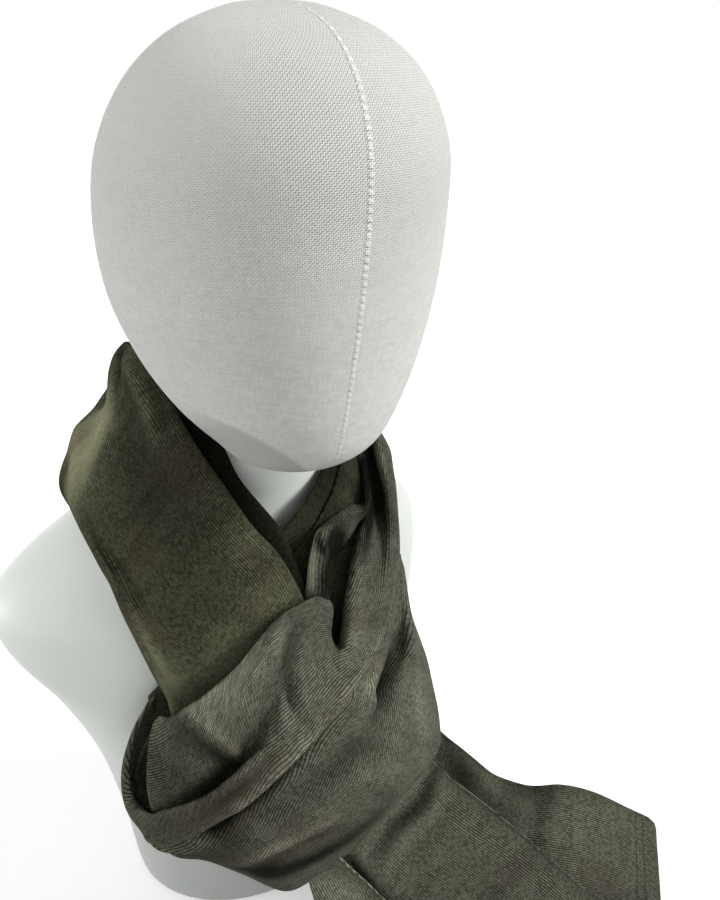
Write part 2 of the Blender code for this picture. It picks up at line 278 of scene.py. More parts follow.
# Past the end of the pouch only the rim goes on, round to the back.
LOOP_RIM = table(RimRow,
    ((-115, -114, 198), (-118, -115, 193), (-115, -113, 179),
     (-110, -104, 158)),
    ((-116, -104, 203), (-119, -104, 200), (-119, -101, 187),
     (-114, -92, 166)),
    ((-111, -94, 217), (-115, -94, 215), (-116, -92, 203), (-111, -83, 182)),
    ((-99, -84, 230), (-103, -84, 229), (-104, -82, 216), (-99, -74, 198)),
    ((-86, -78, 240), (-89, -78, 239), (-90, -75, 225), (-85, -68, 209)))
LOOP_FRONT += [
    FrontRow(*[row.crest] * 6, row.face, row.fold, row.under)
    for row in LOOP_RIM]

# Outer body of the loop: out from under the rim, round a sagging belly,
# and turned under above the tails.
LOOP_OUTER_PLY = table(OuterRow,
    ((85, -78, 284), (85, -79, 283), (87, -79, 281), (88, -78, 277),
     (91, -75, 272), (96, -70, 264), (106, -58, 249)),
    ((69, -92, 253), (73, -92, 252), (80, -88, 246), (84, -88, 244),
     (87, -89, 242), (93, -84, 235), (107, -66, 210)),
    ((48, -106, 238), (53, -108, 236), (64, -101, 226), (75, -98, 219),
     (83, -102, 218), (98, -92, 202), (118, -72, 173)),
    ((22, -124, 242), (26, -129, 240), (34, -127, 231), (52, -113, 208),
     (66, -114, 198), (85, -110, 184), (120, -84, 142)),
    ((4, -134, 240), (12, -140, 236), (23, -140, 226), (43, -127, 201),
     (57, -129, 190), (82, -121, 166), (118, -94, 120)),
    ((-11, -138, 230), (-1, -145, 225), (12, -147, 215), (29, -141, 195),
     (48, -141, 179), (77, -127, 146), (114, -100, 103)),
    ((-27, -140, 219), (-17, -148, 214), (-3, -152, 203), (14, -152, 188),
     (37, -148, 166), (65, -133, 132), (93, -110, 101)),
    ((-43, -141, 209), (-34, -150, 205), (-21, -155, 194), (-5, -156, 178),
     (15, -151, 154), (39, -137, 121), (64, -116, 89)),
    ((-58, -141, 202), (-50, -150, 196), (-40, -155, 186), (-28, -156, 170),
     (-13, -151, 149), (11, -135, 105), (33, -118, 73)),
    ((-72, -140, 194), (-66, -148, 188), (-58, -153, 178), (-47, -153, 163),
     (-37, -149, 147), (-16, -130, 95), (5, -114, 59)),
    ((-85, -136, 186), (-79, -143, 178), (-72, -147, 169), (-64, -148, 157),
     (-55, -144, 141), (-40, -128, 96), (-24, -110, 51)),
    ((-97, -126, 184), (-93, -136, 174), (-86, -139, 168), (-79, -140, 159),
     (-72, -136, 145), (-63, -125, 121), (-53, -108, 88)),
    ((-104, -115, 186), (-104, -124, 167), (-100, -127, 166),
     (-95, -127, 163), (-90, -123, 155), (-83, -115, 139), (-76, -102, 112)),
    ((-109, -104, 188), (-111, -110, 166), (-110, -112, 163),
     (-107, -112, 160), (-103, -108, 151), (-98, -102, 138), (-93, -92, 117)))
LOOP_OUTER_PLY += table(Section,
    (-112, -93, 190, -106, -86, 140, 2),
    (-105, -80, 198, -100, -74, 150, 1),
    (-91, -74, 213, -91, -70, 165, 1))

# Tails: out of the loop, down to the floor and along it.
TAIL_BACK = table(Section,
    (76, -91, 174, 14, -103, 112, 2),
    (108, -81, 132, 36, -94, 88, 2),
    (137, -72, 84, 64, -91, 50, 2),
    (163, -82, 50, 90, -118, 20, 2),
    (187, -90, 20, 110, -152, 4, 2),
    (208, -112, 15, 126, -184, 1, 2),
    (224, -131, 25, 142, -206, 1, 1),
    (245, -148, 20, 162, -226, 1, 1),
    (266, -168, 8, 182, -246, 1, 0),
    (283, -188, 1, 199, -266, 1, 0))

TAIL_FRONT = table(Section,
    (70, -102, 180, 4, -112, 114, 3),
    (98, -94, 126, 3, -112, 84, 3),
    (121, -84, 71, 2, -114, 50, 4),
    (132, -98, 56, 8, -127, 25, 5),
    (147, -120, 42, 21, -143, 6, 6),
    (166, -158, 24, 45, -177, 2, 5),
    (183, -206, 8, 80, -268, 1, 2),
    (205, -232, 6, 104, -318, 1, 0),
    (221, -252, 6, 126, -340, 1, 0))

# The front tail's hidden side, turned back under it.
TAIL_SIDE_FOLD = table(Section,
    (12, -121, 76, -14, -113, 76, 2),
    (22, -125, 58, -10, -113, 58, 4),
    (32, -132, 42, -8, -120, 36, 5),
    (42, -144, 27, -6, -134, 12, 5),
    (56, -170, 14, 8, -168, 1, 4),
    (70, -206, 10, 30, -208, 2, 3),
    (84, -244, 10, 50, -246, 2, 2))

# Shades are painted light and shade: a stroke below zero darkens the colour
# where shade and shadow fall, and a stroke above zero paints a highlight.
CLOTHS = {
    "band_outer": Cloth(
        BAND_OUTER, side=1, spacing=2.6, ripple=0.5, anchor=0.0, face=True,
        pull=1.3,
        creases=(
            line(5, 7, (26, 64), (31, 62), (36, 67), (39, 74)),
            line(-4, 5, (24, 44), (28, 46), (31, 50)),
            line(-3, 3.5, (30, 6), (31.5, 16), (32.5, 30)),
            line(3, 5, (30, 10), (35, 20), (43, 25), (48, 30)),
            line(-2, 4, (35, 8), (42, 14), (50, 17)),
            line(-4, 4, (44, 76), (53.5, 71), (62, 70), (74, 73)),
            line(1.6, 4, (40, 80), (44, 71), (50, 62)),
            line(-1.6, 4, (42, 68), (46, 62), (52, 56)),
            line(-2.5, 14, (38, 36), (52, 44), (66, 42)),
            line(2, 12, (50, 10), (64, 16), (78, 30)),
            line(-1.5, 10, (66, 55), (74, 45), (82, 20)),
            line(-3, 6, (2, 30), (10, 38), (20, 34)),
            line(2.5, 6, (3, 60), (12, 56), (22, 62)),
            line(-2.5, 5, (8, 80), (16, 74), (24, 78))),
        shades=(
            line(-0.5, 24, (38, 25), (48, 40), (58, 40)),
            line(3.2, 13, (31, 46), (34, 55), (37, 66), (39, 76)),
            line(0.9, 16, (77, 25), (78, 55), (79, 80)),
            line(1.2, 9, (66, 74), (74, 76), (80, 78)),
            line(-0.75, 4, (29, 6), (31.5, 16), (32.5, 30), (34, 40)),
            line(0.5, 5, (33, 14), (35, 21), (40, 26), (47, 29)))),
    "band_inner": Cloth(
        BAND_INNER, side=1, spacing=4.0, turn=(2, 2), ripple=0.4, face=True,
        pull=1.3,
        shades=(
            line(-1, 30, (25, 10), (50, 10), (78, 10)),)),
    "rear_ply": Cloth(
        REAR_PLY, side=-1, spacing=4.0, turn=(2, 2), ripple=0.4, face=True,
        pull=1.3,
        shades=(
            line(-1.6, 10, (14, 62), (24.5, 52), (32, 47), (40, 45)),
            line(-0.8, 24, (16, 5), (30, 5), (48, 5)))),
    "inner_fold": Cloth(
        LOOP_INNER_FOLD, side=-1, spacing=3.0, turn=(2, 2), ripple=0.3,
        shades=(
            line(-1, 12, (30, 72), (42, 66), (52, 58), (64, 58), (80, 60),
                 (100, 60)),
            line(-1.1, 8, (40, 54), (50, 42), (62, 34), (80, 34), (100, 36)),
            line(-1.3, 9, (0, 45), (6, 34), (14, 30)),
            line(-0.8, 12, (40, 90), (60, 90), (90, 90)),
            line(-0.5, 9, (20, 25), (32, 30), (46, 30)),
            line(2.8, 4, (54, 8), (75, 12), (100, 14)))),
    "front": Cloth(
        LOOP_FRONT, side=-1, spacing=3.0, turn=(3, 0),
        shift=(0, 0, 0, 0, 0, -2, -26, -84, -100), ripple=0.3, anchor=0.83,
        cut=(19 / 24, 5 / 8),
        creases=(
            line(-2, 6, (8, 46), (12, 54), (15, 58)),
            line(4, 4, (72, 0), (69, 7), (65.5, 18), (63, 28), (62, 38)),
            line(-3, 6, (74, 10), (70, 20), (67, 30), (65, 40)),
            line(-3, 7, (46, 10), (44, 30), (44, 45), (50, 52)),
            line(2, 7, (40, 20), (38, 40), (39, 62), (46, 70)),
            line(3.5, 3, (24, 84), (34, 84), (50, 85), (66, 86), (80, 86)),
            line(-2, 4, (42, 74), (54, 74), (66, 76), (78, 78)),
            line(-1.5, 4, (70, 66), (76, 70), (80, 74))),
        shades=(
            line(-1.15, 8, (5, 18), (9, 26), (11.5, 32), (14, 34), (17, 32)),
            line(-1, 9, (8, 44), (11, 54), (14, 60)),
            line(-0.35, 15, (15, 62), (17.5, 58), (20, 52)),
            line(0.45, 10, (21.5, 36), (24, 36), (27, 34)),
            line(-0.6, 5, (8, 10), (12, 12), (15, 10)),
            line(0.9, 11, (66, 2), (58, 10), (50, 18)),
            line(0.55, 3, (70, 4), (65.5, 18), (63.5, 27), (62, 35)),
            line(-0.5, 4, (71.5, 6), (68, 20), (65.5, 30), (63.5, 40)),
            line(-0.6, 9, (46, 20), (45, 34), (47, 50)),
            line(-0.3, 18, (78, 20), (73, 26), (68, 30)),
            line(-0.7, 8, (71, 36), (68, 36), (64, 38)),
            line(-0.45, 6, (58, 76), (68, 75), (79, 76)),
            line(0.5, 3, (24, 84), (34, 84), (50, 85), (66, 86), (80, 86))),
        warmth=(
            line(0.7, 7, (58, 78), (64, 76), (70, 76), (76, 76)),)),
    "outer": Cloth(
        LOOP_OUTER_PLY, side=-1, spacing=2.8, shift=(0, 0, -9, -42, -82, -92),
        ripple=0.6,
        creases=(
            line(-6, 7, (12, 46), (17, 50), (21, 50), (25, 44), (29, 40)),
            line(3.5, 4, (15, 26), (21, 33), (25, 38), (28, 42)),
            line(-2.5, 8, (28, 46), (34.5, 34), (40.5, 30), (47, 22),
                 (55, 14)),
            line(2.5, 4, (6, 70), (10, 64), (14, 70), (17, 80), (23, 88)),
            line(3.5, 12, (40, 42), (39, 55), (38, 74)),
            line(2.5, 5, (70, 70), (63.5, 53), (58, 49), (53, 53), (47, 60)),
            line(-3, 7, (68, 84), (62, 70), (56, 66), (50, 70)),
            line(-2, 8, (30, 60), (33, 72), (36, 86)),
            line(-4, 4, (20, 3), (34, 6), (48, 7), (62, 7), (76, 8))),
        shades=(
            line(-0.95, 9, (12, 48), (17, 52), (21, 50), (25, 45)),
            line(-0.75, 3.5, (26, 5), (38, 6), (50, 7), (62, 7), (76, 8)),
            line(-1.05, 18, (80, 80), (66, 76), (56, 78), (46, 80)),
            line(0.5, 4, (70, 66), (63.5, 50), (58, 46), (53, 50), (47, 57)),
            line(-0.5, 14, (54, 12), (61, 18), (68, 36)),
            line(-0.5, 12, (30, 48), (34.5, 36), (40.5, 31), (50, 26)),
            line(0.35, 14, (16, 74), (24, 82), (30, 84)),
            line(0.45, 9, (16, 34), (19, 32), (22, 30))),
        warmth=(
            line(0.8, 16, (74, 60), (66, 64), (58, 64), (50, 66)),
            line(0.35, 10, (44, 5), (54, 6), (62, 6)))),
    "tail_back": Cloth(
        TAIL_BACK, side=-1, spacing=3.0, ripple=0.8, corner=12,
        creases=(
            line(-4, 8, (30, 10), (40, 20), (50, 22)),
            line(3, 10, (46, 8), (58, 12), (70, 10)),
            line(-2, 8, (50, 45), (64, 40), (80, 46)),
            line(1, 9, (96.5, 0), (96.5, 50), (96.5, 100))),
        shades=(
            line(0.35, 30, (54, 40), (62, 40), (72, 40)),
            line(-0.5, 15, (24, 5), (34, 22), (37, 45)),
            line(-0.25, 34, (20, 15), (33, 20), (44, 24)),
            line(-0.4, 12, (38, 15), (46, 30), (50, 50)))),
    "tail_front": Cloth(
        TAIL_FRONT, side=-1, spacing=3.0, ripple=0.8, corner=12,
        creases=(
            line(-5, 6, (29, 0), (36.5, 21), (34.5, 45), (36, 64)),
            line(-3, 4, (22, 11), (24, 25), (25.5, 48), (26.5, 57)),
            line(3, 7, (42, 6), (44, 24), (43, 45)),
            line(-3.5, 7, (20, 84), (30, 80), (40, 79), (54, 80)),
            line(-2, 10, (56, 30), (70, 36), (86, 30)),
            line(1, 9, (96.5, 0), (96.5, 50), (96.5, 100))),
        shades=(
            line(-1, 7, (20, 84), (30, 80), (40, 79), (54, 80)),
            line(-0.7, 6, (29, 0), (36, 21), (34.5, 45), (36, 64)))),
    "side_fold": Cloth(
        TAIL_SIDE_FOLD, side=-1, spacing=3.5, ripple=0.4,
        shades=(
            line(0.9, 14, (10, 30), (30, 35), (55, 35)),)),
}


# --- Settings

class ScarfCloth(bpy.types.PropertyGroup):
    """Sizes of the jersey."""
    wall: FloatProperty(
        name="Cloth thickness", description="Thickness of a doubled ply",
        default=2.0 * MM, unit="LENGTH")
    seam_gap: FloatProperty(
        name="Seam gap", description="Space between two joined stretches",
        default=1.2 * MM, unit="LENGTH")
    ply_gap: FloatProperty(
        name="Ply gap", description="Space between two plies",
        default=0.5 * MM, unit="LENGTH")
    wale_pitch: FloatProperty(
        name="Wale pitch", description="Width of one column of stitches",
        default=1.8 * MM, unit="LENGTH")
    course_pitch: FloatProperty(
        name="Course pitch", description="Height of one row of stitches",
        default=1.3 * MM, unit="LENGTH")


class ScarfColours(bpy.types.PropertyGroup):
    """Colours of the cloth and of the bust."""
    jersey_light: FloatVectorProperty(
        name="Jersey, light fibre", description="Crest of a knitted rib",
        default=(0.200, 0.203, 0.150), subtype="COLOR", min=0, max=1)
    # dark between the ribs: partly darker fibre, partly painted shade in the
    # grooves
    jersey_dark_fibre_and_groove_shade: FloatVectorProperty(
        name="Jersey, dark fibre and groove shade", description="Groove between the ribs",
        default=(0.010, 0.011, 0.005), subtype="COLOR", min=0, max=1)
    jersey_warm: FloatVectorProperty(
        name="Jersey, warm fibre", description="Brownish cast in the wool",
        default=(0.070, 0.052, 0.040), subtype="COLOR", min=0, max=1)
    # the face is a darker copy of the jersey: painted shade on the strand and
    # the rear plies
    jersey_face_in_shade: FloatVectorProperty(
        name="Jersey, face in painted shade", description="Rib crests on the darker face",
        default=(0.118, 0.120, 0.074), subtype="COLOR", min=0, max=1)
    thread: FloatVectorProperty(
        name="Thread", description="Stitches along the hems",
        default=(0.022, 0.022, 0.016), subtype="COLOR", min=0, max=1)
    linen: FloatVectorProperty(
        name="Linen", description="Cover of the head",
        default=(0.94, 0.94, 0.89), subtype="COLOR", min=0, max=1)
    moulding: FloatVectorProperty(
        name="Moulding", description="Neck and chest of the bust",
        default=(0.85, 0.89, 0.84), subtype="COLOR", min=0, max=1)


class ScarfStage(bpy.types.PropertyGroup):
    """Light, floor and camera."""
    floor: FloatVectorProperty(
        name="Floor", description="Colour of the floor",
        default=(1.0, 1.0, 1.0), subtype="COLOR", min=0, max=1)
    key: FloatProperty(
        name="Key light", description="Strength of the high right light",
        default=2.6, min=0)
    front: FloatProperty(
        name="Front light", description="Strength of the large soft light",
        default=0.45, min=0)
    left: FloatProperty(
        name="Left light",
        description="Strength of the light behind on the left",
        default=1.15, min=0)
    sky: FloatProperty(
        name="Room light", description="Strength of the light all round",
        default=0.95, min=0)


# --- Curves through the tables

def catmull_rom(rows, along):
    """A smooth value between the rows of a table, for along from 0 to 1."""
    place = min(max(along, 0.0), 1.0) * (len(rows) - 1)
    index = min(int(place), len(rows) - 2)
    t = place - index
    before = rows[max(index - 1, 0)]
    start = rows[index]
    end = rows[index + 1]
    after = rows[min(index + 2, len(rows) - 1)]
    return [
        0.5 * (2 * b + (c - a) * t + (2 * a - 5 * b + 4 * c - d) * t * t
               + (3 * b - a - 3 * c + d) * t * t * t)
        for a, b, c, d in zip(before, start, end, after)]


def ends_of(row):
    """The first and last point across a row of a table."""
    if isinstance(row, Section):
        return Vector(row[0:3]), Vector(row[3:6])
    return Vector(row[0]), Vector(row[-1])


def lanes_of(cloth):
    """Rows of points across the cloth, as many in each, from its table."""
    rows = []
    given = cloth.rows
    count = max((len(row) for row in given if not isinstance(row, Section)),
                default=5)
    for index, row in enumerate(given):
        if not isinstance(row, Section):
            rows.append([Vector(point) for point in row])
            continue
        first_a, last_a = ends_of(given[max(index - 1, 0)])
        first_b, last_b = ends_of(given[min(index + 1, len(given) - 1)])
        first, last = ends_of(row)
        run = (first_b + last_b) - (first_a + last_a)
        outward = (last - first).cross(run).normalized() * cloth.side
        rows.append([
            first.lerp(last, lane / (count - 1)) + outward * row.arch * 4
            * lane / (count - 1) * (1 - lane / (count - 1))
            for lane in range(count)])
    return rows


def lanes_at(rows, along):
    """The points across the cloth at one place along it."""
    return [Vector(catmull_rom(lane, along)) for lane in zip(*rows)]


def point_at(rows, along, across):
    """The point at one place along and across the cloth."""
    return Vector(catmull_rom(lanes_at(rows, along), across))


def width_at(lanes):
    """Distances across the cloth to each lane."""
    distances = [0.0]
    for a, b in zip(lanes, lanes[1:]):
        distances.append(distances[-1] + (b - a).length)
    return distances


def middle_length(rows, anchor, steps=96):
    """Distances along one line of the cloth at even steps."""
    return width_at([
        point_at(rows, step / steps, anchor) for step in range(steps + 1)])


def reading(distances, part):
    """A value read from even steps."""
    place = min(max(part, 0.0), 1.0) * (len(distances) - 1)
    index = min(int(place), len(distances) - 2)
    return distances[index] + (distances[index + 1] - distances[index]) * (
        place - index)


def nearest(path, point):
    """The distance from a point to a path, and how far along it that is."""
    best = None
    total = len(path) - 1
    for index in range(total):
        run = path[index + 1] - path[index]
        length = max(run.length_squared, 1e-12)
        part = min(max((point - path[index]).dot(run) / length, 0.0), 1.0)
        distance = (point - path[index] - run * part).length
        if best is None or distance < best[0]:
            best = (distance, (index + part) / total)
    return best


# --- Building

# Grid steps from one row and one lane to the next, where a cloth is cut.
ROW_STEPS = 6
LANE_STEPS = 5

# Share of a line's length over which it fades, and the ripple's length.
CREASE_END = 0.12
TONE_END = 0.2
RIPPLE_LENGTH = 26.0

# Hem stitches: places along and across the tail, spacing, half sizes, and
# how far above the cloth each is dropped from.
HEM_ROWS = (0.92, 0.942)
HEM_REACH = (0.05, 0.95)
STITCH_PITCH = 3.0
STITCH_SIZE = (1.33, 0.56, 0.42)
STITCH_DROP = 8

# Segments round the bust, and the middle and radius of the head's cover.
SEGMENTS = 96
HEAD_MIDDLE = -0.085
HEAD_RADIUS = 0.082


def make_object(name, bm, material):
    """A smooth-shaded object from a bmesh, which is freed."""
    mesh = bpy.data.meshes.new(name)
    bm.to_mesh(mesh)
    bm.free()
    mesh.materials.append(material)
    mesh.shade_smooth()
    thing = bpy.data.objects.new(name, mesh)
    bpy.context.scene.collection.objects.link(thing)
    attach(thing, "root")
    return thing


def add_wall(thing, thickness):
    """Give a sheet its thickness and round its edges."""
    wall = thing.modifiers.new("Wall", "SOLIDIFY")
    wall.thickness = thickness
    wall.offset = 0.0
    wall.use_even_offset = True
    wall.use_quality_normals = True
    soft = thing.modifiers.new("Soft", "SUBSURF")
    soft.levels = 1
    soft.render_levels = 1


def round_corner(a, b, last, length, width, radius):
    """Pull the corners of the far end in to an arc."""
    near = min(b, 1 - b)
    x = radius - (last - a) * length
    y = radius - near * width
    if x <= 0 or y <= 0:
        return a, b
    shrink = max(x, y) / math.hypot(x, y)
    near = (radius - y * shrink) / width
    a = round(last - (radius - x * shrink) / length, 6)
    return a, round(near if b < 0.5 else 1 - near, 6)


def laid_out(lines, rows):
    """Each line with its path laid on the cloth."""
    return [(line, [point_at(rows, a, b) for a, b in line.path])
            for line in lines]


def strength(lines, point, end):
    """What the lines add up to at a point, weaker at their ends."""
    total = 0.0
    for line, path in lines:
        distance, part = nearest(path, point)
        taper = math.sin(math.pi * (end + (1 - 2 * end) * part))
        total += line.height * taper * math.exp(
            -(distance / line.width) ** 2)
    return total


def make_cloth(name, key, along=(0.0, 1.0), across=(0.0, 1.0), lift=0.0,
               seed=0.0):
    """A stretch of cloth: a grid laid through its rows, creased, thickened."""
    cloth = CLOTHS[key]
    sizes = bpy.context.scene.scarf_cloth
    rows = lanes_of(cloth)
    lengths = middle_length(rows, cloth.anchor)
    widest = max(width_at(lanes_at(rows, s / 12))[-1] for s in range(13))
    if cloth.cut:
        first, last = 0.0, 1.0
        count = (len(rows) - 1) * ROW_STEPS
        columns = (len(rows[0]) - 1) * LANE_STEPS
    else:
        trim = sizes.seam_gap / MM / 2 / lengths[-1]
        first = max(along[0], trim)
        last = min(along[1], 1 - trim)
        count = max(int(lengths[-1] * (last - first) / cloth.spacing), 8)
        columns = max(
            int(widest * (across[1] - across[0]) / cloth.spacing), 4)

    bm = bmesh.new()
    # Shade holds the painted light and shade, and Warmth holds the brownish
    # tint
    tone = bm.verts.layers.float.new("Shade")
    warm = bm.verts.layers.float.new("Warmth")
    bmesh.ops.create_grid(
        bm, x_segments=count, y_segments=columns, size=0.5)
    place = {}
    known = {}
    for vertex in bm.verts:
        a = round(first + (vertex.co.x + 0.5) * (last - first), 6)
        b = round(across[0] + (vertex.co.y + 0.5) * (across[1] - across[0]), 6)
        if cloth.corner:
            a, b = round_corner(a, b, last, lengths[-1], widest, cloth.corner)
        if a not in known:
            lanes = lanes_at(rows, a)
            steps = width_at(lanes)
            known[a] = Across(lanes, steps, reading(steps, cloth.anchor),
                              reading(lengths, a))
        place[vertex] = (a, b)
        vertex.co = Vector(catmull_rom(known[a].lanes, b))
    if cloth.cut:
        far = [face for face in bm.faces
               if all(place[v][0] > cloth.cut[0] - 1e-4
                      and place[v][1] < cloth.cut[1] + 1e-4
                      for v in face.verts)]
        bmesh.ops.delete(bm, geom=far, context="FACES")
        place = {v: place[v] for v in bm.verts}
    bm.normal_update()

    creases = laid_out(cloth.creases, rows)
    shades = laid_out(cloth.shades, rows)
    warmth = laid_out(cloth.warmth, rows)
    moves = {}
    for vertex in bm.verts:
        a, b = place[vertex]
        steps = known[a].steps
        vertex[tone] = strength(shades, vertex.co, TONE_END)
        vertex[warm] = strength(warmth, vertex.co, TONE_END)
        height = lift + strength(creases, vertex.co, CREASE_END)
        reach = reading(steps, b)
        gaps = [(reach, cloth.turn[0]), (steps[-1] - reach, cloth.turn[1])]
        if cloth.cut and b <= cloth.cut[1]:
            gaps.append(((cloth.cut[0] - a) * lengths[-1], cloth.turn[0]))
        for gap, radius in gaps:
            if radius and gap < radius:
                height -= radius - math.sqrt(
                    max(radius ** 2 - (radius - gap) ** 2, 0.0))
        height += cloth.ripple * noise.noise(
            vertex.co / RIPPLE_LENGTH + Vector((seed, 0, 0)))
        moves[vertex] = vertex.co - vertex.normal * cloth.side * height
    layer = bm.loops.layers.uv.new("Cloth")
    for face in bm.faces:
        for loop in face.loops:
            a, b = place[loop.vert]
            here = known[a]
            lean = catmull_rom([(x,) for x in cloth.shift], a)[0]
            loop[layer].uv = (
                (reading(here.steps, b) - here.middle + lean)
                * cloth.pull * MM, here.run * MM)
    for vertex, co in moves.items():
        vertex.co = co * MM
    if cloth.side == 1:
        bmesh.ops.reverse_faces(bm, faces=bm.faces)
    # the face is the darker copy, painted shade
    look = "Merino jersey face in painted shade" if cloth.face else "Merino jersey back"
    thing = make_object(name, bm, reuse(
        bpy.data.materials, look, jersey, cloth.face))
    add_wall(thing, sizes.wall)
    return thing


def sew_hem(name, key, thing):
    """Two rows of stitches across a tail, each a small rounded bead."""
    rows = lanes_of(CLOTHS[key])
    surface = BVHTree.FromObject(
        thing, bpy.context.evaluated_depsgraph_get())
    bm = bmesh.new()
    low, high = HEM_REACH
    for along in HEM_ROWS:
        width = width_at(lanes_at(rows, along))[-1]
        count = int(width * (high - low) / STITCH_PITCH)
        for index in range(count):
            b = low + (high - low) * (index + 0.5) / count
            side = (point_at(rows, along, b + 0.02)
                    - point_at(rows, along, b - 0.02))
            run = (point_at(rows, along + 0.01, b)
                   - point_at(rows, along - 0.01, b))
            up = side.cross(run).normalized()
            if up.z < 0:
                up = -up
            side.normalize()
            place, *_ = surface.ray_cast(
                (point_at(rows, along, b) + up * STITCH_DROP) * MM, -up)
            if place is None:
                continue
            turn = Matrix((side, up.cross(side), up)).transposed().to_4x4()
            stretch = Matrix.Diagonal((*STITCH_SIZE, 1))
            made = bmesh.ops.create_uvsphere(
                bm, u_segments=6, v_segments=4, radius=MM)
            bmesh.ops.transform(
                bm, verts=made["verts"],
                matrix=Matrix.Translation(place) @ turn @ stretch)
    stitches = make_object(name, bm, reuse(
        bpy.data.materials, "Sewing thread", thread))
    return stitches


def ring_loop(bm, ring):
    """One oval ring of the bust; returns its edges."""
    middle = (ring.front + ring.back) / 2
    depth = (ring.back - ring.front) / 2
    made = bmesh.ops.create_circle(bm, segments=SEGMENTS, radius=1.0)
    for vertex in made["verts"]:
        vertex.co = Vector((
            ring.middle_x + vertex.co.x * ring.half_width,
            middle + vertex.co.y * depth,
            ring.z)) * MM
    return list({edge for vertex in made["verts"]
                 for edge in vertex.link_edges})


def make_turned(name, rings, steps, material):
    """A closed body through oval rings."""
    bm = bmesh.new()
    count = (len(rings) - 1) * steps
    loops = [ring_loop(bm, Ring(*catmull_rom(rings, step / count)))
             for step in range(count + 1)]
    for lower, upper in zip(loops, loops[1:]):
        bmesh.ops.bridge_loops(bm, edges=lower + upper)
    for loop in (loops[0], loops[-1]):
        made = bmesh.ops.contextual_create(bm, geom=loop)
        bmesh.ops.poke(bm, faces=made["faces"])
    bmesh.ops.recalc_face_normals(bm, faces=bm.faces)
    return make_object(name, bm, material)


# --- Materials

KNIT_OUTPUTS = ("Rib", "Fibre", "Slub", "Cast", "Height")
STITCH_LENGTH = 0.0034
WHITE = (1.0, 1.0, 1.0)


class Value:
    """A node's output, which takes part in arithmetic."""

    def __init__(self, wiring, socket):
        self.wiring = wiring
        self.socket = socket

    def __add__(self, other):
        return self.wiring.math("ADD", self, other)

    def __sub__(self, other):
        return self.wiring.math("SUBTRACT", self, other)

    def __rsub__(self, other):
        return self.wiring.math("SUBTRACT", other, self)

    def __mul__(self, other):
        return self.wiring.math("MULTIPLY", self, other)

    def __truediv__(self, other):
        return self.wiring.math("DIVIDE", self, other)

    def __abs__(self):
        return self.wiring.math("ABSOLUTE", self)


class Wiring:
    """Short ways to add nodes to a tree and to join them."""

    def __init__(self, tree):
        self.tree = tree

    def fill(self, node, inputs):
        """Give a node's inputs numbers, colours or other nodes' outputs."""
        for name, value in inputs.items():
            socket = node.inputs[name]
            if isinstance(value, Value):
                self.tree.links.new(value.socket, socket)
            elif socket.type == "RGBA":
                socket.default_value = (*value, 1.0)
            else:
                socket.default_value = value

    def node(self, kind, inputs=None, **settings):
        made = self.tree.nodes.new(kind)
        for name, value in settings.items():
            setattr(made, name, value)
        self.fill(made, inputs or {})
        return made

    def out(self, node, name=0):
        return Value(self, node.outputs[name])

    def math(self, operation, a, b=0.0, clamp=False):
        return self.out(self.node(
            "ShaderNodeMath", {0: a, 1: b}, operation=operation,
            use_clamp=clamp))

    def parts(self, kind, output, **settings):
        """The x, y and z of a coordinate."""
        made = self.node("ShaderNodeSeparateXYZ", {
            0: self.out(self.node(kind, **settings), output)})
        return [self.out(made, index) for index in range(3)]

    def attribute(self, name):
        return self.out(self.node(
            "ShaderNodeAttribute", attribute_name=name), "Fac")

    def noise(self, x, y, z=0.0, scale=1.0, detail=2.0, rough=0.5):
        place = self.node("ShaderNodeCombineXYZ", {0: x, 1: y, 2: z})
        return self.out(self.node("ShaderNodeTexNoise", {
            "Vector": self.out(place), "Scale": scale, "Detail": detail,
            "Roughness": rough}), "Fac")

    def grain(self, scale, detail=2.0):
        """Noise in the piece's own space."""
        place = self.node("ShaderNodeTexCoord")
        return self.out(self.node("ShaderNodeTexNoise", {
            "Vector": self.out(place, "Object"), "Scale": scale,
            "Detail": detail}), "Fac")

    def spread(self, value, low, high, to_low=0.0, to_high=1.0):
        return self.out(self.node("ShaderNodeMapRange", {
            "Value": value, "From Min": low, "From Max": high,
            "To Min": to_low, "To Max": to_high},
            interpolation_type="SMOOTHSTEP"), "Result")

    def mix(self, factor, a, b, blend="MIX"):
        return self.out(self.node(
            "ShaderNodeMix", {0: factor, 6: a, 7: b}, data_type="RGBA",
            blend_type=blend), 2)

    def bump(self, height, strength, distance):
        return self.out(self.node("ShaderNodeBump", {
            "Height": height, "Strength": strength, "Distance": distance}),
            "Normal")

    def group(self, name, build, inputs):
        return self.node("ShaderNodeGroup", inputs, node_tree=reuse(
            bpy.data.node_groups, name, build))


def reuse(store, name, build, *settings):
    """The data-block of that name, built only the first time."""
    return store.get(name) or build(name, *settings)


def dim(colour, share):
    return [value * share for value in colour]


def new_group(name, inputs, outputs):
    """A shader node group with named sockets: its wiring and inputs."""
    group = bpy.data.node_groups.new(name, "ShaderNodeTree")
    for socket, value in inputs.items():
        group.interface.new_socket(
            socket, in_out="INPUT",
            socket_type="NodeSocketFloat").default_value = value
    for socket in outputs:
        group.interface.new_socket(
            socket, in_out="OUTPUT", socket_type="NodeSocketFloat")
    w = Wiring(group)
    start = w.node("NodeGroupInput")
    return w, [w.out(start, socket) for socket in inputs]


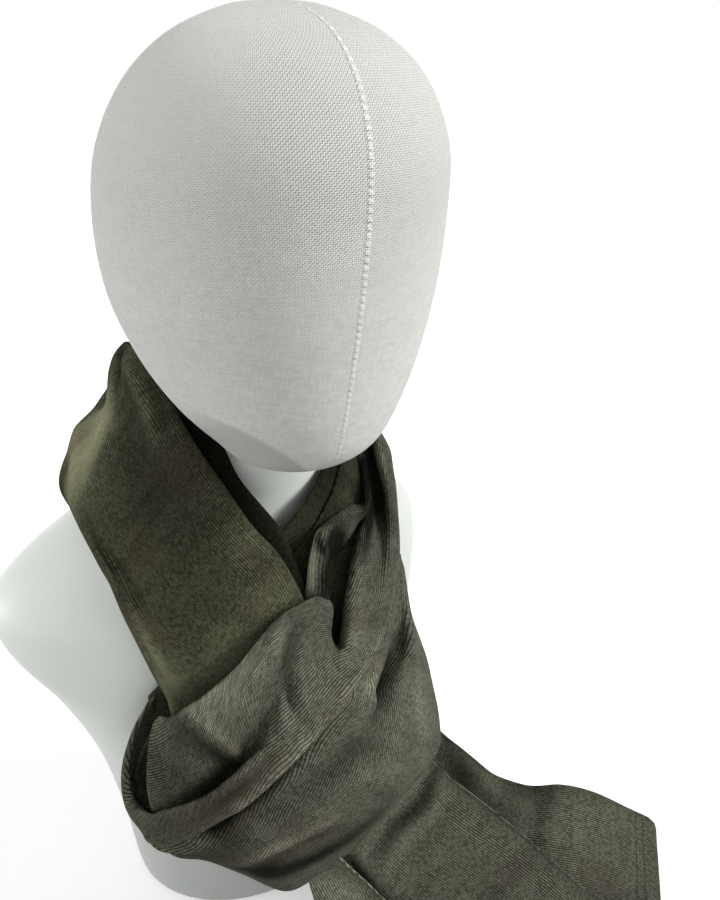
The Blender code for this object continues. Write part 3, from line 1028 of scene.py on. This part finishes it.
def knit_group(name):
    """Knitted ribs, stitch legs, mottled fibre and slubs on a UV map."""
    w, (across, along, wale_pitch, course_pitch) = new_group(
        name, {"Across": 0.0, "Along": 0.0, "Wale Pitch": 0.0016,
               "Course Pitch": 0.0013}, KNIT_OUTPUTS)
    wander = w.noise(across * 60.0, along * 60.0, detail=1.0)
    moved = wander * 0.0012 + across
    wale = moved / wale_pitch
    number = w.math("FLOOR", wale)
    reach = abs(w.math("FRACT", wale) - 0.5) * 2.0
    rib = 1.0 - w.math("POWER", reach, 2.2)
    legs = along / course_pitch + reach * 0.55
    stitch = w.math("SINE", legs * (2 * math.pi)) * 0.5 + 0.5
    # every wale has its own run of light and dark fibre
    per_wale = w.noise(number * 3.7, along * 300.0, detail=3.0, rough=0.7)
    slubs = w.noise(moved * 55.0, along * 620.0, 4.0)
    bands = w.noise(moved * 14.0, along * 90.0, 9.0, detail=3.0)
    cast = w.noise(moved * 16.0, along * 16.0, 2.0)
    speckle = w.spread(per_wale, 0.34, 0.66, 0.58, 1.0)
    w.node("NodeGroupOutput", {
        "Rib": w.math("POWER", rib, 1.4) * speckle,
        "Fibre": w.spread(bands * 0.55 + per_wale, 0.55, 1.0),
        "Slub": w.spread(slubs, 0.60, 0.74),
        "Cast": w.spread(cast, 0.52, 0.72),
        "Height": stitch * 0.35 + rib * 0.65})
    return w.tree


def weave_group(name):
    """Plain-woven threads with slubs, on two coordinates in metres."""
    w, (across, along, thick) = new_group(
        name, {"Across": 0.0, "Along": 0.0, "Thread": 0.0009},
        ("Height", "Tone"))
    across = across / thick
    along = along / thick
    column = w.math("FLOOR", across)
    row = w.math("FLOOR", along)
    warp = abs(w.math("SINE", across * math.pi))
    weft = abs(w.math("SINE", along * math.pi))
    turn = w.math("PINGPONG", column + row, 1.0)
    tone = (w.noise(column, along * 0.06, scale=2.3)
            + w.noise(across * 0.06, row, 5.0, scale=2.3)) * 0.5
    w.node("NodeGroupOutput", {
        "Height": turn * warp + (1.0 - turn) * weft,
        "Tone": w.spread(tone, 0.35, 0.65)})
    return w.tree


def new_material(name):
    """A material with its wiring and its shader."""
    material = bpy.data.materials.new(name)
    material.use_nodes = True
    w = Wiring(material.node_tree)
    return material, w, material.node_tree.nodes["Principled BSDF"]


def jersey(name, face):
    """Fine merino jersey, by its paler back or by its face, a darker copy
    whose colour is painted shade.
    """
    sizes = bpy.context.scene.scarf_cloth
    colours = bpy.context.scene.scarf_colours
    material, w, shader = new_material(name)
    across, along, _ = w.parts("ShaderNodeUVMap", 0, uv_map="Cloth")
    knit = w.group("Jersey knit", knit_group, {
        "Across": across, "Along": along, "Wale Pitch": sizes.wale_pitch,
        "Course Pitch": sizes.course_pitch})
    rib, fibre, slub, cast, height = [
        w.out(knit, output) for output in KNIT_OUTPUTS]
    light = colours.jersey_face_in_shade if face else colours.jersey_light
    # painted light and shade: the Shade attribute scales the colour
    painted_light = w.math("MINIMUM", w.math(
        "MAXIMUM", w.attribute("Shade") + 1.0, 0.06), 4.0)
    # the ribs are pulled flat where the painted light is strongest
    flat = w.spread(painted_light, 1.3, 2.8, 0.0, 0.7)
    # rib crests take the light colour; the dark between them is partly darker
    # fibre, partly painted shade in the grooves
    share = fibre * (0.45 if face else 0.33) + rib * (0.60 if face else 0.84)
    share = flat * (0.5 - share) + share
    body = w.mix(share, colours.jersey_dark_fibre_and_groove_shade, light)
    body = w.mix(slub * (0.10 if face else 0.22), body, light)
    warmth = w.math(
        "ADD", cast * 0.30, w.attribute("Warmth"), clamp=True)
    body = w.mix(warmth, body, colours.jersey_warm)
    grey = w.node("ShaderNodeCombineColor", {0: painted_light, 1: painted_light, 2: painted_light})
    w.fill(shader, {
        "Base Color": w.mix(1.0, body, w.out(grey), blend="MULTIPLY"),
        "Roughness": w.spread(rib, 0.0, 1.0, 0.95, 0.82),
        "Normal": w.bump(height * (1.0 - flat), 1.0,
                         0.0009 if face else 0.0012),
        "Sheen Weight": 0.01,
        "Sheen Roughness": 0.45,
        "Sheen Tint": (0.75, 0.78, 0.68),
        "Specular IOR Level": 0.03})
    return material


def thread(name):
    """Twisted sewing thread."""
    material, w, shader = new_material(name)
    colour = bpy.context.scene.scarf_colours.thread
    w.fill(shader, {
        "Base Color": w.mix(w.grain(900.0), dim(colour, 0.6),
                            dim(colour, 1.3)),
        "Roughness": 0.8})
    return material


def linen(name):
    """Fine linen pulled over the head, sewn down the middle."""
    colour = bpy.context.scene.scarf_colours.linen
    material, w, shader = new_material(name)
    across, along, _ = w.parts("ShaderNodeUVMap", 0, uv_map="Cloth")
    x, _, z = w.parts("ShaderNodeTexCoord", "Object")
    weave = w.group("Plain weave", weave_group, {
        "Across": across, "Along": along})
    height = w.out(weave, "Height")
    pale = dim(colour, 1.05)
    body = w.mix(w.out(weave, "Tone"), dim(colour, 0.91), pale)
    # darker where the threads dip under each other: painted shade in the dips
    body = w.mix((1.0 - height) * 0.35, body, dim(colour, 0.68))
    # painted shadow under the wearer's right of the jaw
    under = w.spread((x * 9.42 + 1.385) * x + z, 0.3800, 0.3840, 1.0, 0.0)
    under = under * w.spread(x, -0.062, -0.046)
    body = w.mix(under, body, dim(colour, 0.66))
    # painted shade toward the crown
    body = w.mix(w.spread(z, 0.43, 0.58, 0.0, 0.8), body, dim(colour, 0.66))
    seam = w.spread(abs(across), 0.0003, 0.0016, 1.0, 0.0)
    dash = w.spread(w.math("SINE", along * (2 * math.pi / STITCH_LENGTH)),
                    -0.7, 0.2, 0.35, 1.0)
    sewn = seam * dash
    w.fill(shader, {
        "Base Color": w.mix(sewn * 0.75, body, pale),
        "Normal": w.bump(sewn * 3.0 + height, 0.8, 0.0004),
        "Roughness": 0.85,
        "Sheen Weight": 0.1})
    return material


def moulding(name):
    """Smooth satin moulding of the neck and chest."""
    colour = bpy.context.scene.scarf_colours.moulding
    material, w, shader = new_material(name)
    x, _, z = w.parts("ShaderNodeTexCoord", "Object")
    broad = w.grain(9.0)
    body = w.mix(broad, dim(colour, 0.95), colour)
    # painted shade toward the foot
    body = w.mix(w.spread(z, 0.03, 0.20, 1.0, 0.0), body, dim(colour, 0.52))
    # painted shade on the far shoulder
    body = w.mix(w.spread(x, 0.080, 0.115), body, dim(colour, 0.70))
    w.fill(shader, {
        "Base Color": body,
        "Roughness": w.spread(broad, 0.3, 0.7, 0.38, 0.50),
        "Normal": w.bump(w.grain(420.0, 3.0), 0.15, 0.0002),
        "Specular IOR Level": 0.35})
    return material


# --- Operators

FLOOR_LEVEL = -0.0008
CAMERA_PLACE = Vector((-176.2, -450.0, 584.6))
CAMERA_AIM = Vector((105.0, 0.0, 320.0))


class SCARF_OT_bust(bpy.types.Operator):
    """Build the head in its linen cover and the moulded neck and chest"""
    bl_idname = "scarf.bust"
    bl_label = "Bust"

    def execute(self, context):
        head = make_turned("head_in_linen", HEAD_RINGS, 5, reuse(
            bpy.data.materials, "Linen cover", linen))
        give_head_uv(head)
        body = make_turned("neck_and_chest", BODY_RINGS, 4, reuse(
            bpy.data.materials, "Smooth moulding", moulding))
        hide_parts("bust_head")
        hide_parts("bust_body")
        return {"FINISHED"}


def give_head_uv(head):
    """Threads run level round the head and straight down the seam."""
    mesh = head.data
    layer = mesh.uv_layers.new(name="Cloth")
    for loop in mesh.loops:
        co = mesh.vertices[loop.vertex_index].co
        turn = math.atan2(co.x, HEAD_MIDDLE - co.y)
        layer.data[loop.index].uv = (turn * HEAD_RADIUS, co.z)


class SCARF_OT_tail_strand(bpy.types.Operator):
    """Lay the two plies of the tail strand over the right shoulder"""
    bl_idname = "scarf.tail_strand"
    bl_label = "Tail strand"

    def execute(self, context):
        outer = make_cloth("strand_outer_ply", "band_outer", seed=1.0)
        inner = make_cloth("strand_inner_ply", "band_inner", seed=2.0)
        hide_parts("tail_strand_outer_ply")
        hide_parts("tail_strand_inner_ply")
        return {"FINISHED"}


class SCARF_OT_loop(bpy.types.Operator):
    """Wind the front strand of the loop round the tail strand"""
    bl_idname = "scarf.loop"
    bl_label = "Loop"

    def execute(self, context):
        gap = bpy.context.scene.scarf_cloth
        lift = (gap.wall + gap.ply_gap) / MM
        rear = make_cloth("rear_strand_ply", "rear_ply", seed=3.0)
        fold = make_cloth("rear_strand_fold", "rear_ply", (0.12, 0.66),
                          (0.14, 0.9), lift=lift, seed=4.0)
        inner = make_cloth("inner_fold", "inner_fold", seed=5.0)
        front = make_cloth("pouch_and_rim", "front", seed=6.0)
        outer = make_cloth("outer_ply", "outer", seed=8.0)
        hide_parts("loop_rear_ply")
        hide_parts("loop_rear_fold")
        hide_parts("loop_inner_fold")
        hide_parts("loop_pouch_ply", "loop_rim_ply")
        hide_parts("loop_outer_ply")
        return {"FINISHED"}


class SCARF_OT_tails(bpy.types.Operator):
    """Lay the two tails out of the loop and along the surface"""
    bl_idname = "scarf.tails"
    bl_label = "Tails"

    def execute(self, context):
        back = make_cloth("back_tail", "tail_back", seed=9.0)
        front = make_cloth("front_tail", "tail_front", seed=10.0)
        fold = make_cloth("front_tail_side_fold", "side_fold", seed=11.0)
        sew_hem("back_tail_hem_stitches", "tail_back", back)
        sew_hem("front_tail_hem_stitches", "tail_front", front)
        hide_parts("tail_back")
        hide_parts("tail_front")
        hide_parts("tail_front_side_fold")
        return {"FINISHED"}


class SCARF_OT_stage(bpy.types.Operator):
    """Set the pale floor, the soft lights and the camera"""
    bl_idname = "scarf.stage"
    bl_label = "Stage"

    def execute(self, context):
        scene = context.scene
        look = scene.scarf_stage
        bm = bmesh.new()
        bmesh.ops.create_grid(
            bm, x_segments=2, y_segments=2, size=8.0,
            matrix=Matrix.Translation((0.0, 0.0, FLOOR_LEVEL)))
        mesh = bpy.data.meshes.new("Floor")
        bm.to_mesh(mesh)
        bm.free()
        material, w, shader = new_material("Pale floor")
        w.fill(shader, {
            "Base Color": look.floor, "Roughness": 0.9,
            "Emission Color": WHITE, "Emission Strength": 0.34})
        mesh.materials.append(material)
        floor = bpy.data.objects.new("Floor", mesh)
        scene.collection.objects.link(floor)
        floor.visible_diffuse = False
        floor.visible_shadow = False

        for name, toward, width, power in (
                ("Key light", (0.72, -0.46, 0.52), 20, look.key),
                ("Front light", (-0.42, -0.90, 0.02), 60, look.front),
                ("Left light", (-0.82, 0.54, 0.14), 25, look.left)):
            light = bpy.data.lights.new(name, "SUN")
            light.angle = math.radians(width)
            light.energy = power
            lamp = bpy.data.objects.new(name, light)
            lamp.location = Vector(toward) * 2
            lamp.rotation_euler = Vector(toward).to_track_quat(
                "Z", "Y").to_euler()
            scene.collection.objects.link(lamp)

        world = bpy.data.worlds.new("Soft room")
        world.use_nodes = True
        w = Wiring(world.node_tree)
        room = world.node_tree.nodes["Background"]
        _, _, up = w.parts("ShaderNodeTexCoord", "Generated")
        # dim below the horizon, softer again overhead, white to the eye
        below = w.spread(up, -0.30, 0.10, look.sky * 0.06, look.sky)
        above = w.spread(up, 0.25, 0.95, 1.0, 0.38)
        w.fill(room, {"Color": WHITE, "Strength": below * above})
        white = w.node("ShaderNodeBackground", {"Color": WHITE})
        seen = w.out(w.node("ShaderNodeLightPath"), "Is Camera Ray")
        pick = w.node("ShaderNodeMixShader", {
            0: seen, 1: w.out(room), 2: w.out(white)})
        w.fill(world.node_tree.nodes["World Output"], {0: w.out(pick)})
        scene.world = world
        scene.view_settings.view_transform = "Standard"

        lens = bpy.data.cameras.new("Camera")
        lens.lens = 32.0
        lens.sensor_width = 36.0
        camera = bpy.data.objects.new("Camera", lens)
        camera.location = CAMERA_PLACE * MM
        camera.rotation_euler = (CAMERA_AIM - CAMERA_PLACE).to_track_quat(
            "-Z", "Y").to_euler()
        scene.collection.objects.link(camera)
        scene.camera = camera
        return {"FINISHED"}


class SCARF_PT_panel(bpy.types.Panel):
    """Sizes, colours and builders of the cape scarf"""
    bl_label = "Cape scarf"
    bl_idname = "SCARF_PT_panel"
    bl_space_type = "VIEW_3D"
    bl_region_type = "UI"
    bl_category = "Cape scarf"

    def draw(self, context):
        scene = context.scene
        for group in (scene.scarf_cloth, scene.scarf_colours,
                      scene.scarf_stage):
            box = self.layout.box()
            for name in group.__annotations__:
                box.prop(group, name)
        for operator in OPERATORS:
            self.layout.operator(operator.bl_idname)


OPERATORS = (
    SCARF_OT_stage,
    SCARF_OT_bust,
    SCARF_OT_tail_strand,
    SCARF_OT_loop,
    SCARF_OT_tails,
)

CLASSES = (ScarfCloth, ScarfColours, ScarfStage) + OPERATORS + (
    SCARF_PT_panel,)


def register():
    for kind in CLASSES:
        bpy.utils.register_class(kind)
    bpy.types.Scene.scarf_cloth = PointerProperty(type=ScarfCloth)
    bpy.types.Scene.scarf_colours = PointerProperty(type=ScarfColours)
    bpy.types.Scene.scarf_stage = PointerProperty(type=ScarfStage)


def unregister():
    del bpy.types.Scene.scarf_cloth
    del bpy.types.Scene.scarf_colours
    del bpy.types.Scene.scarf_stage
    for kind in reversed(CLASSES):
        bpy.utils.unregister_class(kind)


def main():
    """Build everything, in order."""
    register()
    bpy.ops.scarf.stage()
    bpy.ops.scarf.bust()
    bpy.ops.scarf.tail_strand()
    bpy.ops.scarf.loop()
    bpy.ops.scarf.tails()


if __name__ == "__main__":
    main()
